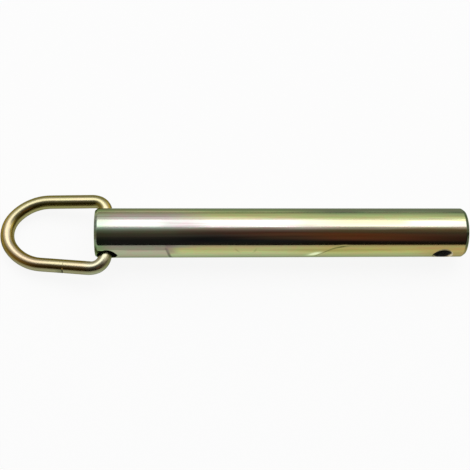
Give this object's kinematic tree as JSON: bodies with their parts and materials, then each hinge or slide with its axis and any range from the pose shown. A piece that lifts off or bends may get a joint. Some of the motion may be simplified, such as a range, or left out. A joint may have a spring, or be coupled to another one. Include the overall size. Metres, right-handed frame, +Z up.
{
  "type": "hitch pin",
  "caption": "Straight round steel hitch pin with a swinging D-shaped pull ring at one end and a linch-pin cross-hole at the other.",
  "frame": {"origin": "on the pin's axis at half its length", "axes": "+X along the pin to its free end, +Y along both cross-holes, +Z up from the surface that the pin lies on"},
  "size_m": [0.2367, 0.0447, 0.025],
  "materials": {
    "pin_plating": "bright zinc plate under a thin iridescent yellow passivate",
    "ring_plating": "bright zinc plate under a golden yellow passivate"
  },
  "bodies": {
    "pin": {"pin": "pin_plating"},
    "ring": {"ring": "ring_plating"}
  },
  "joints": [
    {"name": "ring_swing", "type": "hinge", "parent": "pin", "child": "ring", "pos_m": [-0.0889, 0, -0.0008], "axis": [0, 1, 0], "range_deg": [-152, 168]}
  ]
}
